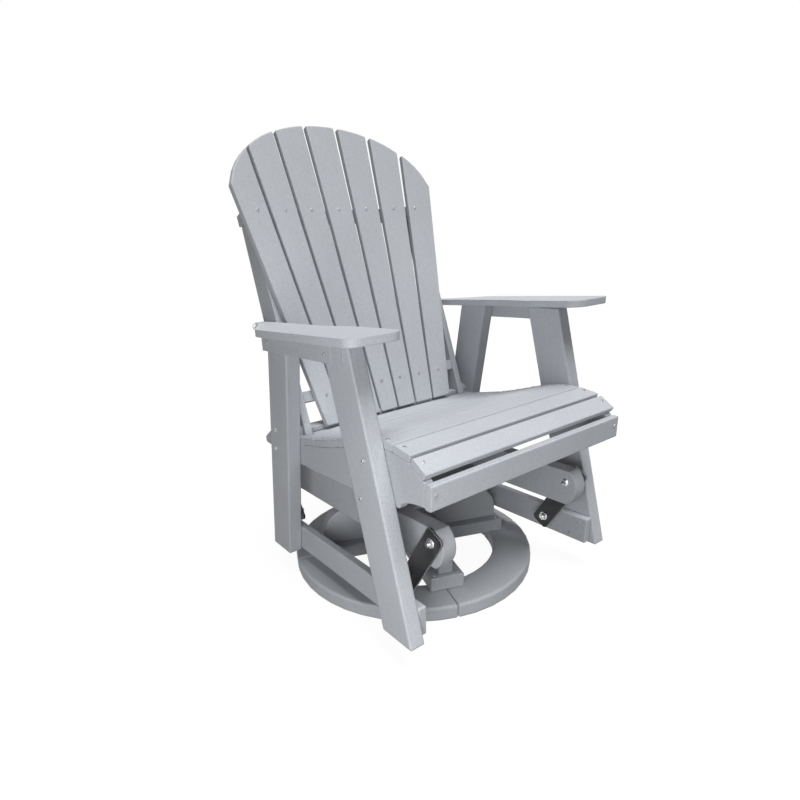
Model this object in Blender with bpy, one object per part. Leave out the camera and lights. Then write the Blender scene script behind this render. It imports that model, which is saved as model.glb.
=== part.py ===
"""Fan-backed patio chair in poly lumber that glides on four steel links and turns on a round base.

Lengths are metres and angles degrees. x runs to the sitter's left, y to the back and z up.
y is measured from the swivel axis and z from the floor. Outlines of boards that stand across
the chair are (y, z) pairs.
"""
import math

import bmesh
import bpy
from mathutils import Matrix, Vector

# Clearances, edges and facets
GAP = 0.0003  # between pieces that bear on each other
RUNNING_GAP = 0.0005  # between pieces that move past each other
OVERRUN = 0.004  # how far a cutter runs past the piece it cuts
EDGE = 0.0026  # rounded edge of a board
ARM_EDGE = 0.006
RING_EDGE = 0.006
LINK_EDGE = 0.0006
EDGE_ANGLE = 30.0  # edges sharper than this are rounded
EDGE_ARC = 45.0  # turn from facet to facet round a board's edge
ARC = 15.0  # turn from facet to facet along a curved outline
ROUND_STEPS = 12  # facets round a bolt, washer or hole

# Board stock
POST = 0.038  # legs, beams and base rails
POST_WIDTH = 0.0885
RAIL = 0.022  # seat rails and bottom rails
STILE = 0.020
SLAT = 0.016
BRACE = 0.028
ARM = 0.0170

# Whole chair
SEAT_HALF = 0.305  # half the width between the legs
SWIVEL_Y = 0.03213  # swivel axis behind the middle of the chair's depth
BASE_TURN = -21.3  # base against the chair, as it was left

# Base
RING_WIDTH = 0.101
RING_SEAT = 0.035  # how far the base rails bear on the ring
RING_THICKNESS = 0.0385
RING_SEGMENTS = 4
RING_STEPS = 11  # facets along one segment
BASE_RAIL_INSET = 0.0124  # from the bottom rails in to the ends of the base rails
BASE_BOARD_INSET = 0.012  # and from there in to the ends of the upright boards
BASE_BOARD_HEIGHT = 0.1055
BASE_BOARD_ROUND = 0.078

# Swivel bearing, two pressed steel plates with balls between them
PLATE_HALF = 0.096
PLATE_CORNER = 0.012
PLATE = 0.003
TRACK_RADIUS = 0.073
TRACK_HALF = 0.009
TRACK_HEIGHT = 0.0036
GROOVE_HALF = 0.0035
GROOVE_DEPTH = 0.0025
BALL_RADIUS = 0.0037
BALL_GAP = 0.0007
BALL_COUNT = 12
BALL_STEPS = 8
CAGE_HALF = 0.0065  # half the width of the ring that keeps the balls apart
CAGE = 0.0016
LIP = 0.0033  # how far the lower rim reaches past its track
LIP_THICKNESS = 0.0013
RIM_GAP = 0.0012  # between the two rims
SKIRT = 0.0025
BEARING_STEPS = 24

# Glider frame
BEAM_LENGTH = 0.735
SPACER = 0.033  # from a link out to the bottom rail
GLIDE_CENTRE_Y = -0.030  # middle of the beams and of the four links
CROSS_BOARD = 0.0254
CROSS_BOARD_SPACE = 0.022  # between the two cross boards

# Links
LINK = 0.005
LINK_WIDTH = 0.050
LINK_END = 0.029  # from a pivot to the end of the plate
LINK_CORNER = 0.007
LINK_DROP = 0.138  # from the upper pivot down to the lower one
LINK_REACH = 0.081  # from the upper pivot in towards the middle
OPEN_PIVOT_PLAY = 0.0049  # slack of the rear lower pivots over the whole glide
OPEN_PIVOT_SHIFT = 0.0037  # their holes lie this far forward of their bolts at rest

# Pivot bolts
PIVOT_RADIUS = 0.005
PIVOT_HEAD_RADIUS = 0.010
PIVOT_HEAD = 0.005
WASHER_RADIUS = 0.0115
OPEN_WASHER_RADIUS = 0.0145
WASHER = 0.0014
NUT_RADIUS = 0.0092
NUT = 0.0075
TIP = 0.003  # thread left past a nut
SPACER_RADIUS = 0.009
HEAD_SHARES = ((0.0, 0.0), (0.3, 0.75), (1.0, 1.0))  # of a head's height and radius

# Legs, by the middle of the board at its two ends
LEG_FOOT_Z = 0.073
LEG_TOP_Z = 0.6775
FRONT_LEG_AHEAD = 0.0590  # from the front lower pivot, at that pivot's height
FRONT_LEG_TOP_Y = -0.1823
BACK_LEG_AHEAD = 0.0693  # from the rear lower pivot
BACK_LEG_TOP_Y = 0.0556

# Bottom rails
BOTTOM_RAIL_ENDS = (0.1037, 0.0498)  # ahead of the front lower pivot, behind the rear one
BOTTOM_RAIL_Z = 0.0775
BOTTOM_RAIL_HEIGHT = 0.0705

# Seat
SLAT_WIDTH = 0.0490
SLAT_SPACE = 0.0018
SLAT_MEETING = 0.0005  # between the lower edges where the seat bends down
SEAT_FRONT = (-0.3579, 0.4820)  # front top edge of the first slat behind the nose
SEAT_TILTS = (-9.5, 0.5, 12.0, 17.5, 17.5, 15.0, 11.5, 11.5, 3.0)  # fall of each slat to the back
SEAT_SLATS = 8  # made here; the rails have the bearing for the ninth
NOSE_TOP = (-0.3655, 0.4785)  # back top edge of the sloping front slat
NOSE_TILT = -33.7
NOSE_WIDTH = 0.0440
APRON = 0.0175
APRON_FRONT_Y = -0.4157
APRON_Z = 0.384
APRON_HEIGHT = 0.052
ARCH_Z = 0.0278  # height and length of the arch under the front of a seat rail
ARCH_Y = 0.0751
UNDERSIDE = ((-0.24, 0.3525), (-0.15, 0.347), (-0.05, 0.342), (0.06, 0.340), (0.15, 0.343))
SEAT_RAIL_FRONT_Z = 0.3863
TAIL = ((0.256, 0.354), (0.256, 0.3705))  # lower and upper corner of a seat rail's back end
TAIL_ROUND = 0.007
SHOULDER = ((0.0770, 0.430), (0.135, 0.455))  # raised part behind the last slat
SHOULDER_ROUND = 0.012

# Arms
ARM_OVERHANG = 0.062  # past the legs
ARM_LIP = 0.0202  # in past the outer face of the stiles, at the front
ARM_STAND_OFF = 0.0013  # from that face to the tail
ARM_TAIL = 0.0323
ARM_FRONT_Y = -0.300
ARM_WIDE_Y = -0.160  # back end of the wide front
ARM_NARROW_Y = -0.060
ARM_TAPER_Y = (0.035, 0.162)
ARM_END_Y = 0.197
ARM_INNER_CORNER = 0.020
ARM_OUTER_CORNER = 0.014
ARM_TAIL_CORNER = 0.012
ARM_BEND = 0.080  # radius where an edge changes course
SUPPORT = 0.025
SUPPORT_HEIGHT = 0.0338
SUPPORT_Y = (-0.209, 0.080)

# Back, in a frame that leans with it: x across, then depth to the back, then height up the slats
BACK_FOOT = (0.0598, 0.4243)  # y and z of that frame's origin
RECLINE = 19.6
HOLLOW_RADIUS = 1.5
HOLLOW_DEPTH = 0.0164  # depth of the middle slat's face
BACK_SLATS = 7
FAN_SIDE = 0.0419  # from the stiles in to the edge of the fan, at height zero
FAN_SPREAD_SHARE = 0.0480  # growth of the spacing with height
FAN_SPACE = 0.0055  # between slats, at height zero
FAN_SPACE_SHARE = 0.0090  # and its growth with height
FAN_FOOT_HEIGHT = 0.0
FAN_AXIS_HEIGHT = 0.600  # the slats' middle lines are set out up to here
CROWN_HEIGHT = 0.564
CROWN_RISE = 0.227
CROWN_MARGIN = 0.0170  # how far the crown's ellipse reaches past the fan
CROWN_STEPS = 4
CROWN_TRIES = 30
BRACE_BACK = 0.060  # depth of the straight back edge of each brace
UPPER_BRACE = 0.541  # height of each brace's lower face
UPPER_BRACE_OVERHANG = 0.0076  # past the stiles
LOWER_BRACE = 0.072

# Stiles, uprights behind the back
STILE_REAR = (0.234, 0.688)  # a point on the back edge
STILE_FRONT = (0.1415, 0.688)  # and one on the front edge
STILE_LEAN = 16.3
STILE_FOOT_Z = 0.352
STILE_STEP = (0.236, 0.266)  # heights where the front edge draws back behind the slats

# Places that follow
RAIL_OUTER = SEAT_HALF - GAP
RAIL_INNER = RAIL_OUTER - RAIL
LINK_OUTER = RAIL_INNER - SPACER
LINK_INNER = LINK_OUTER - LINK
BEAM_OUTER = LINK_INNER - RUNNING_GAP
BEAM_INNER = BEAM_OUTER - POST
BASE_RAIL_HALF = RAIL_INNER - BASE_RAIL_INSET
BASE_BOARD_HALF = BASE_RAIL_HALF - BASE_BOARD_INSET
RING_RADIUS = BASE_RAIL_HALF - RING_SEAT + RING_WIDTH
STILE_OUTER = RAIL_INNER - GAP
STILE_INNER = STILE_OUTER - STILE
FAN_FOOT = (STILE_INNER - FAN_SIDE) * 2 / BACK_SLATS  # from slat to slat, at height zero
LEG_OUTER = SEAT_HALF + POST
ARM_OUTER = LEG_OUTER + ARM_OVERHANG
ARM_INNER = STILE_OUTER - ARM_LIP
ARM_TAIL_INNER = STILE_OUTER + ARM_STAND_OFF
ARM_TAIL_OUTER = ARM_TAIL_INNER + ARM_TAIL
ARM_Z = LEG_TOP_Z + GAP
BASE_RAIL_Z = RING_THICKNESS + GAP
BASE_BOARD_Z = BASE_RAIL_Z + POST + GAP
LOWER_PLATE_Z = BASE_BOARD_Z + BASE_BOARD_HEIGHT + GAP
TRACK_Z = LOWER_PLATE_Z + PLATE + TRACK_HEIGHT
BALL_LIFT = (BALL_RADIUS + BALL_GAP) * math.hypot(GROOVE_HALF, GROOVE_DEPTH) / GROOVE_HALF
BALL_Z = TRACK_Z - GROOVE_DEPTH + BALL_LIFT
TRACK_OUTER = TRACK_RADIUS + TRACK_HALF
TRACK_INNER = TRACK_RADIUS - TRACK_HALF
UPPER_PLATE_Z = 2 * BALL_Z - LOWER_PLATE_Z
CROSS_BOARD_Z = UPPER_PLATE_Z + GAP
BEAM_Z = CROSS_BOARD_Z + CROSS_BOARD + GAP
BEAM_ROUND = POST_WIDTH / 2
UPPER_PIVOT_Z = BEAM_Z + BEAM_ROUND
PIVOT_SPAN = BEAM_LENGTH / 2 - BEAM_ROUND
FRONT_PIVOT_Y = GLIDE_CENTRE_Y - PIVOT_SPAN
REAR_PIVOT_Y = GLIDE_CENTRE_Y + PIVOT_SPAN
LOWER_PIVOT_Z = UPPER_PIVOT_Z - LINK_DROP
FRONT_LOWER_Y = FRONT_PIVOT_Y + LINK_REACH
REAR_LOWER_Y = REAR_PIVOT_Y - LINK_REACH
BOTTOM_RAIL_Y = (FRONT_LOWER_Y - BOTTOM_RAIL_ENDS[0], REAR_LOWER_Y + BOTTOM_RAIL_ENDS[1])
PIVOT_HOLE = PIVOT_RADIUS + RUNNING_GAP
APRON_BACK_Y = APRON_FRONT_Y + APRON
SEAT_RAIL_FRONT_Y = APRON_BACK_Y + GAP
ARCH_BACK_Z = SEAT_RAIL_FRONT_Z - ARCH_Z

SIDES = {"right": -1, "left": 1}  # the sitter's sides
POLY = ((0.42, 0.43, 0.45), 0.62, 0.0)  # colour, roughness, metallic
STEEL = ((0.55, 0.55, 0.57), 0.35, 1.0)
BLACK_STEEL = ((0.03, 0.03, 0.035), 0.45, 0.6)
BALL_STEEL = ((0.65, 0.65, 0.67), 0.2, 1.0)


def clear_scene():
    for item in list(bpy.data.objects):
        bpy.data.objects.remove(item, do_unlink=True)


def axis_point(axis, u, v, along):
    """World order of a point given in the plane square to an axis, and along that axis."""
    if axis == "x":
        return Vector((along, u, v))
    if axis == "y":
        return Vector((u, along, v))
    return Vector((u, v, along))


def add_prism(bm, axis, outline, low, high):
    """Push a flat outline from low to high along an axis."""
    near = [bm.verts.new(axis_point(axis, u, v, low)) for u, v in outline]
    far = [bm.verts.new(axis_point(axis, u, v, high)) for u, v in outline]
    bm.faces.new(near)
    bm.faces.new(reversed(far))
    for k in range(len(outline)):
        after = (k + 1) % len(outline)
        bm.faces.new((near[k], far[k], far[after], near[after]))


def turned_ring(bm, axis, centre, along, radius, hexagonal, steps):
    """One ring of points about an axis, or a single point where the radius is zero."""
    if not radius:
        return [bm.verts.new(axis_point(axis, centre[0], centre[1], along))]
    ring = []
    for k in range(steps):
        angle = math.tau * k / steps
        from_flat = angle % (math.pi / 3) - math.pi / 6
        reach = radius * math.cos(math.pi / 6) / math.cos(from_flat) if hexagonal else radius
        u = centre[0] + reach * math.cos(angle)
        v = centre[1] + reach * math.sin(angle)
        ring.append(bm.verts.new(axis_point(axis, u, v, along)))
    return ring


def join_rings(bm, ring, other, steps):
    for k in range(steps):
        after = (k + 1) % steps
        if len(ring) == 1:
            bm.faces.new((ring[0], other[after], other[k]))
        elif len(other) == 1:
            bm.faces.new((ring[k], ring[after], other[0]))
        else:
            bm.faces.new((ring[k], ring[after], other[after], other[k]))


def add_turned(bm, axis, centre, profile, steps=ROUND_STEPS):
    """Turn a profile of (along, radius) points, with a third value where it is hexagonal."""
    rings = []
    for along, radius, *hexagonal in profile:
        rings.append(turned_ring(bm, axis, centre, along, radius, bool(hexagonal), steps))
    for ring, other in zip(rings, rings[1:] + rings[:1]):
        if len(ring) > 1 or len(other) > 1:
            join_rings(bm, ring, other, steps)


def rod(radius, low, high):
    return ((low, 0), (low, radius), (high, radius), (high, 0))


def turned(vector, angle):
    cosine = math.cos(angle)
    sine = math.sin(angle)
    return Vector((vector.x * cosine - vector.y * sine, vector.x * sine + vector.y * cosine))


def round_corners(corners, arc):
    """Flat outline from corners given as (u, v, radius), with a facet for each turn of arc degrees."""
    outline = []
    for k, (u, v, radius) in enumerate(corners):
        if not radius:
            outline.append((u, v))
            continue
        corner = Vector((u, v))
        to_last = (Vector(corners[k - 1][:2]) - corner).normalized()
        to_next = (Vector(corners[(k + 1) % len(corners)][:2]) - corner).normalized()
        half = math.acos(to_last.dot(to_next)) / 2
        centre = corner + (to_last + to_next).normalized() * radius / math.sin(half)
        start = corner + to_last * radius / math.tan(half) - centre
        end = corner + to_next * radius / math.tan(half) - centre
        sweep = math.copysign(math.pi - 2 * half, start.x * end.y - start.y * end.x)
        steps = max(1, round(abs(math.degrees(sweep)) / arc))
        for step in range(steps + 1):
            outline.append(tuple(centre + turned(start, sweep * step / steps)))
    return outline


def board_outline(corners):
    """Cross-section of a moulded board, with rounded edges."""
    return round_corners([(u, v, EDGE) for u, v in corners], EDGE_ARC)


def box_corners(u, v):
    return ((u[0], v[0]), (u[1], v[0]), (u[1], v[1]), (u[0], v[1]))


def across(low, high):
    """Both sides of the chair, as the side's name and two x places there."""
    return [(side, way * low, way * high) for side, way in SIDES.items()]


def paint(item, finish):
    colour, roughness, metallic = finish
    material = bpy.data.materials.new(item.name)
    material.use_nodes = True
    shader = material.node_tree.nodes["Principled BSDF"]
    shader.inputs["Base Color"].default_value = (*colour, 1)
    shader.inputs["Roughness"].default_value = roughness
    shader.inputs["Metallic"].default_value = metallic
    item.data.materials.append(material)


def place(name, bm, carrier, frame):
    """Make an object at a frame whose y is measured from the swivel axis, hung on its carrier."""
    bmesh.ops.recalc_face_normals(bm, faces=bm.faces)
    mesh = bpy.data.meshes.new(name)
    bm.to_mesh(mesh)
    bm.free()
    item = bpy.data.objects.new(name, mesh)
    bpy.context.collection.objects.link(item)
    item.parent = carrier
    item.matrix_parent_inverse = carrier.matrix_world.inverted()
    item.matrix_basis = Matrix.Translation((0, SWIVEL_Y, 0)) @ frame
    return item


def make(name, bm, carrier, finish, frame=Matrix.Identity(4)):
    item = place(name, bm, carrier, frame)
    item.data.shade_smooth()
    item.data.set_sharp_from_angle(angle=math.radians(EDGE_ANGLE))
    paint(item, finish)
    return item


def soften(item, width, steps):
    bevel = item.modifiers.new("rounded edges", "BEVEL")
    bevel.width = width
    bevel.segments = steps
    bevel.limit_method = "ANGLE"
    bevel.angle_limit = math.radians(EDGE_ANGLE)


def combine(item, bm, operation):
    """Cut a hidden shape out of an item, or grow the item by it."""
    tool = place(item.name + "_" + operation.lower(), bm, item.parent, Matrix.Identity(4))
    tool.matrix_basis = item.matrix_basis
    tool.display_type = "WIRE"
    tool.hide_render = True
    step = item.modifiers.new(operation.lower(), "BOOLEAN")
    step.operation = operation
    step.solver = "EXACT"
    step.object = tool


def drill(item, axis, low, high, holes):
    """Bore holes given as (centre, radius) from low to high along an axis."""
    bm = bmesh.new()
    way = math.copysign(1, high - low)
    for centre, radius in holes:
        add_turned(bm, axis, centre, rod(radius, low - way * OVERRUN, high + way * OVERRUN))
    combine(item, bm, "DIFFERENCE")


def add_carrier(name, y, z, parent=None):
    """Empty on the axis of a body's joint."""
    carrier = bpy.data.objects.new(name, None)
    bpy.context.collection.objects.link(carrier)
    carrier.location = (0, y + SWIVEL_Y, z)
    if parent:
        carrier.parent = parent
        carrier.matrix_parent_inverse = parent.matrix_world.inverted()
    bpy.context.view_layer.update()
    return carrier


def bolt_profile(head_face, nut_face, washer_radius, shoulder=()):
    """Round-headed bolt with its washer and hexagon nut, from the head to the tip."""
    way = math.copysign(1, nut_face - head_face)
    under_head = head_face - way * GAP
    under_washer = nut_face + way * GAP
    under_nut = under_washer + way * WASHER
    nut_end = under_nut + way * NUT
    profile = []
    for height_share, radius_share in HEAD_SHARES:
        height = under_head - way * PIVOT_HEAD * (1 - height_share)
        profile.append((height, PIVOT_HEAD_RADIUS * radius_share))
    profile += [(under_head, PIVOT_RADIUS), *shoulder, (under_washer, PIVOT_RADIUS)]
    profile += [(under_washer, washer_radius), (under_nut, washer_radius)]
    profile += [(under_nut, NUT_RADIUS, True), (nut_end, NUT_RADIUS, True), (nut_end, PIVOT_RADIUS)]
    profile += [(nut_end + way * TIP, PIVOT_RADIUS), (nut_end + way * TIP, 0)]
    return profile


# The base

def base_frame(turn=0):
    return Matrix.Rotation(math.radians(BASE_TURN + turn), 4, "Z")


def ring_outline():
    """One segment of the ring, half a gap short of its neighbour at each end."""
    outline = []
    for radius, order in ((RING_RADIUS, 1), (RING_RADIUS - RING_WIDTH, -1)):
        start = math.asin(GAP / 2 / radius)
        sweep = math.tau / RING_SEGMENTS - 2 * start
        for k in range(RING_STEPS + 1)[::order]:
            angle = start + sweep * k / RING_STEPS
            outline.append((radius * math.cos(angle), radius * math.sin(angle)))
    return outline


def make_ring(stand):
    for k in range(RING_SEGMENTS):
        bm = bmesh.new()
        add_prism(bm, "z", ring_outline(), 0, RING_THICKNESS)
        frame = base_frame(k * 360 / RING_SEGMENTS)
        item = make(f"base_ring_segment_{k + 1}", bm, stand, POLY, frame)
        soften(item, RING_EDGE, 2)


def lapped_outline(half, low, high, notch, over, corner):
    """Side of a board that passes over or under the one crossing it, with its upper corners round."""
    level = (low + high) / 2 + (GAP / 2 if over else -GAP / 2)
    top = [(half, high, corner), (-half, high, corner)]
    notch_edge = low if over else high
    cut = [(-notch, notch_edge, 0), (-notch, level, 0), (notch, level, 0), (notch, notch_edge, 0)]
    if over:
        return round_corners([(-half, low, 0), *cut, (half, low, 0), *top], ARC)
    return round_corners([(-half, low, 0), (half, low, 0), top[0], *cut[::-1], top[1]], ARC)


def make_crossing(name, stand, half, low, high, thickness, corner):
    """Two equal boards, one along each of the base's axes, halved into each other."""
    for k, (axis, over) in enumerate((("y", False), ("x", True))):
        bm = bmesh.new()
        outline = lapped_outline(half, low, high, thickness / 2 + GAP, over, corner)
        add_prism(bm, axis, outline, -thickness / 2, thickness / 2)
        soften(make(f"{name}_{k + 1}", bm, stand, POLY, base_frame()), EDGE, 1)


def plate_outline():
    corner = PLATE_HALF - PLATE_CORNER
    outline = []
    for k in range(4):
        for point in ((PLATE_HALF, -corner), (PLATE_HALF, corner)):
            outline.append(tuple(turned(Vector(point), math.tau * k / 4)))
    return outline


def groove(face, way):
    """Ball groove in the face of a track."""
    return [
        (face, TRACK_RADIUS - GROOVE_HALF),
        (face - way * GROOVE_DEPTH, TRACK_RADIUS),
        (face, TRACK_RADIUS + GROOVE_HALF),
    ]


def make_lower_plate(stand):
    bm = bmesh.new()
    add_prism(bm, "z", plate_outline(), LOWER_PLATE_Z, LOWER_PLATE_Z + PLATE)
    item = make("swivel_lower_plate", bm, stand, BLACK_STEEL, base_frame())
    middle = LOWER_PLATE_Z + PLATE / 2
    under_lip = TRACK_Z - LIP_THICKNESS
    profile = [(middle, TRACK_INNER), (TRACK_Z, TRACK_INNER), *groove(TRACK_Z, 1)]
    profile += [(TRACK_Z, TRACK_OUTER + LIP), (under_lip, TRACK_OUTER + LIP)]
    profile += [(under_lip, TRACK_OUTER), (middle, TRACK_OUTER)]
    bm = bmesh.new()
    add_turned(bm, "z", (0, 0), profile, BEARING_STEPS)
    combine(item, bm, "UNION")


def make_upper_plate(frame_body):
    bm = bmesh.new()
    add_prism(bm, "z", plate_outline(), UPPER_PLATE_Z - PLATE, UPPER_PLATE_Z)
    item = make("swivel_upper_plate", bm, frame_body, BLACK_STEEL)
    middle = UPPER_PLATE_Z - PLATE / 2
    track = 2 * BALL_Z - TRACK_Z
    profile = [(middle, TRACK_INNER), (track, TRACK_INNER), *groove(track, -1)]
    profile += [(track, TRACK_OUTER), (middle, TRACK_OUTER)]
    bm = bmesh.new()
    add_turned(bm, "z", (0, 0), profile, BEARING_STEPS)
    inner = TRACK_OUTER + LIP + RIM_GAP
    hook = TRACK_OUTER + RIM_GAP
    hook_top = TRACK_Z - LIP_THICKNESS - RUNNING_GAP
    hook_low = hook_top - LIP_THICKNESS
    rim = [(middle, inner), (hook_top, inner), (hook_top, hook), (hook_low, hook)]
    rim += [(hook_low, inner + SKIRT), (middle, inner + SKIRT)]
    add_turned(bm, "z", (0, 0), rim, BEARING_STEPS)
    combine(item, bm, "UNION")


def make_ball_ring(stand):
    """Balls held apart by a flat ring."""
    bm = bmesh.new()
    inner = TRACK_RADIUS - CAGE_HALF
    outer = TRACK_RADIUS + CAGE_HALF
    low = BALL_Z - CAGE / 2
    high = BALL_Z + CAGE / 2
    ring = ((low, inner), (low, outer), (high, outer), (high, inner))
    add_turned(bm, "z", (0, 0), ring, BEARING_STEPS)
    item = make("swivel_ball_ring", bm, stand, BALL_STEEL, base_frame())
    bm = bmesh.new()
    for k in range(BALL_COUNT):
        angle = math.tau * k / BALL_COUNT
        centre = (TRACK_RADIUS * math.cos(angle), TRACK_RADIUS * math.sin(angle))
        profile = [(BALL_Z - BALL_RADIUS, 0)]
        for row in (-math.pi / 4, 0, math.pi / 4):
            profile.append((BALL_Z + BALL_RADIUS * math.sin(row), BALL_RADIUS * math.cos(row)))
        profile.append((BALL_Z + BALL_RADIUS, 0))
        add_turned(bm, "z", centre, profile, BALL_STEPS)
    combine(item, bm, "UNION")


def make_base(stand):
    make_ring(stand)
    rail_top = BASE_RAIL_Z + POST
    make_crossing("base_rail", stand, BASE_RAIL_HALF, BASE_RAIL_Z, rail_top, POST_WIDTH, 0)
    board_top = BASE_BOARD_Z + BASE_BOARD_HEIGHT
    make_crossing(
        "base_board", stand, BASE_BOARD_HALF, BASE_BOARD_Z, board_top, POST, BASE_BOARD_ROUND
    )
    make_lower_plate(stand)
    make_ball_ring(stand)


# The turning frame and its links

def beam_outline():
    outline = []
    steps = round(180 / ARC)
    for centre, start in ((REAR_PIVOT_Y, -90), (FRONT_PIVOT_Y, 90)):
        for k in range(steps + 1):
            angle = math.radians(start + 180 * k / steps)
            y = centre + BEAM_ROUND * math.cos(angle)
            outline.append((y, UPPER_PIVOT_Z + BEAM_ROUND * math.sin(angle)))
    return outline


def make_beams(frame_body):
    holes = [((y, UPPER_PIVOT_Z), PIVOT_RADIUS + GAP) for y in (FRONT_PIVOT_Y, REAR_PIVOT_Y)]
    for side, low, high in across(BEAM_INNER, BEAM_OUTER):
        bm = bmesh.new()
        add_prism(bm, "x", beam_outline(), low, high)
        item = make(f"glider_beam_{side}", bm, frame_body, POLY)
        soften(item, EDGE, 2)
        drill(item, "x", low, high, holes)


def make_cross_boards(frame_body):
    start = CROSS_BOARD_SPACE / 2
    for name, way in (("front", -1), ("back", 1)):
        bm = bmesh.new()
        edges = sorted((way * start, way * (start + POST_WIDTH)))
        outline = board_outline(box_corners(edges, (CROSS_BOARD_Z, CROSS_BOARD_Z + CROSS_BOARD)))
        add_prism(bm, "x", outline, -BEAM_OUTER, BEAM_OUTER)
        make(f"cross_board_{name}", bm, frame_body, POLY)


def make_upper_pivot_bolts(frame_body):
    for end, y in (("front", FRONT_PIVOT_Y), ("rear", REAR_PIVOT_Y)):
        for side, head_face, nut_face in across(BEAM_INNER, LINK_OUTER):
            bm = bmesh.new()
            profile = bolt_profile(head_face, nut_face, WASHER_RADIUS)
            add_turned(bm, "x", (y, UPPER_PIVOT_Z), profile)
            make(f"upper_pivot_bolt_{end}_{side}", bm, frame_body, STEEL)


def make_glider_frame(frame_body):
    make_upper_plate(frame_body)
    make_cross_boards(frame_body)
    make_beams(frame_body)
    make_upper_pivot_bolts(frame_body)


def link_outline(way):
    """Link plate seen from the side, about its upper pivot, reaching forward or back as it drops."""
    lower = Vector((way * LINK_REACH, -LINK_DROP))
    along = lower.normalized()
    sideways = Vector((-along.y, along.x))
    half = LINK_WIDTH / 2
    outline = []
    for end, out in ((Vector((0, 0)), -along), (lower, along)):
        tip = end + out * LINK_END
        clipped = end + out * (LINK_END - LINK_CORNER)
        edge = sideways * math.copysign(half, out.dot(along))
        corner = sideways * math.copysign(half - LINK_CORNER, out.dot(along))
        outline += [clipped + edge, tip + corner, tip - corner, clipped - edge]
    return [tuple(point) for point in outline]


def make_links(carrier, name, pivot_y, way, lower_hole, shift):
    frame = Matrix.Translation((0, pivot_y, UPPER_PIVOT_Z))
    holes = [((0, 0), PIVOT_HOLE), ((way * LINK_REACH - shift, -LINK_DROP), lower_hole)]
    for side, low, high in across(LINK_INNER, LINK_OUTER):
        bm = bmesh.new()
        add_prism(bm, "x", link_outline(way), low, high)
        item = make(f"{name}_link_{side}", bm, carrier, BLACK_STEEL, frame)
        soften(item, LINK_EDGE, 1)
        drill(item, "x", low, high, holes)


# The chair's sides

def leg_outline(passing, top):
    """Leaning board between the foot and the arm, by its middle at the lower pivots' height and at the top."""
    foot = top + (passing - top) * (LEG_TOP_Z - LEG_FOOT_Z) / (LEG_TOP_Z - LOWER_PIVOT_Z)
    lean = math.atan2(top - foot, LEG_TOP_Z - LEG_FOOT_Z)
    half = POST_WIDTH / 2 / math.cos(lean)
    feet = [(foot - half, LEG_FOOT_Z), (foot + half, LEG_FOOT_Z)]
    return [*feet, (top + half, LEG_TOP_Z), (top - half, LEG_TOP_Z)]


def make_legs(chair):
    for name, *middles in (
        ("front", FRONT_LOWER_Y - FRONT_LEG_AHEAD, FRONT_LEG_TOP_Y),
        ("back", REAR_LOWER_Y - BACK_LEG_AHEAD, BACK_LEG_TOP_Y),
    ):
        for side, low, high in across(SEAT_HALF, LEG_OUTER):
            bm = bmesh.new()
            add_prism(bm, "x", leg_outline(*middles), low, high)
            soften(make(f"{name}_leg_{side}", bm, chair, POLY), EDGE, 2)


def make_bottom_rails(chair):
    holes = [((y, LOWER_PIVOT_Z), PIVOT_RADIUS + GAP) for y in (FRONT_LOWER_Y, REAR_LOWER_Y)]
    heights = (BOTTOM_RAIL_Z, BOTTOM_RAIL_Z + BOTTOM_RAIL_HEIGHT)
    for side, low, high in across(RAIL_INNER, RAIL_OUTER):
        bm = bmesh.new()
        add_prism(bm, "x", box_corners(BOTTOM_RAIL_Y, heights), low, high)
        item = make(f"bottom_rail_{side}", bm, chair, POLY)
        soften(item, EDGE, 1)
        drill(item, "x", low, high, holes)


def shoulder_profile(rail_face, link_face, flange_radius):
    """Tube on a lower bolt between the bottom rail and the link, with a flange against the link."""
    way = math.copysign(1, link_face - rail_face)
    start = rail_face + way * GAP
    end = link_face - way * RUNNING_GAP
    neck = end - way * WASHER
    tube = [(start, PIVOT_RADIUS), (start, SPACER_RADIUS), (neck, SPACER_RADIUS)]
    return [*tube, (neck, flange_radius), (end, flange_radius), (end, PIVOT_RADIUS)]


def make_lower_pivot_bolts(chair):
    for end, y, washer_radius in (
        ("front", FRONT_LOWER_Y, WASHER_RADIUS),
        ("rear", REAR_LOWER_Y, OPEN_WASHER_RADIUS),
    ):
        for side, way in SIDES.items():
            bm = bmesh.new()
            shoulder = shoulder_profile(way * RAIL_INNER, way * LINK_OUTER, washer_radius)
            profile = bolt_profile(way * RAIL_OUTER, way * LINK_INNER, washer_radius, shoulder)
            add_turned(bm, "x", (y, LOWER_PIVOT_Z), profile)
            make(f"lower_pivot_bolt_{end}_{side}", bm, chair, STEEL)


# The seat

def slat_corners(start, tilt, width):
    """Front top, back top, back bottom and front bottom of a slat seen from the side."""
    angle = math.radians(tilt)
    front = Vector(start)
    along = Vector((math.cos(angle), -math.sin(angle))) * width
    down = Vector((-math.sin(angle), -math.cos(angle))) * SLAT
    return front, front + along, front + along + down, front + down


def nose_corners():
    angle = math.radians(NOSE_TILT)
    front = Vector(NOSE_TOP) - Vector((math.cos(angle), -math.sin(angle))) * NOSE_WIDTH
    return slat_corners(front, NOSE_TILT, NOSE_WIDTH)


def seat_slat_corners():
    """Each slat starts clear of the one before, by its top edge or by its bottom edge."""
    slats = []
    start = Vector(SEAT_FRONT)
    for k, tilt in enumerate(SEAT_TILTS):
        slats.append(slat_corners(start, tilt, SLAT_WIDTH))
        front, back, back_low, front_low = slats[-1]
        following = SEAT_TILTS[min(k + 1, len(SEAT_TILTS) - 1)]
        angle = math.radians(following)
        along = Vector((math.cos(angle), -math.sin(angle)))
        down = Vector((-math.sin(angle), -math.cos(angle)))
        if following > tilt:
            start = back_low + along * SLAT_MEETING - down * SLAT
        else:
            start = back + along * SLAT_SPACE
    return slats


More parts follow.
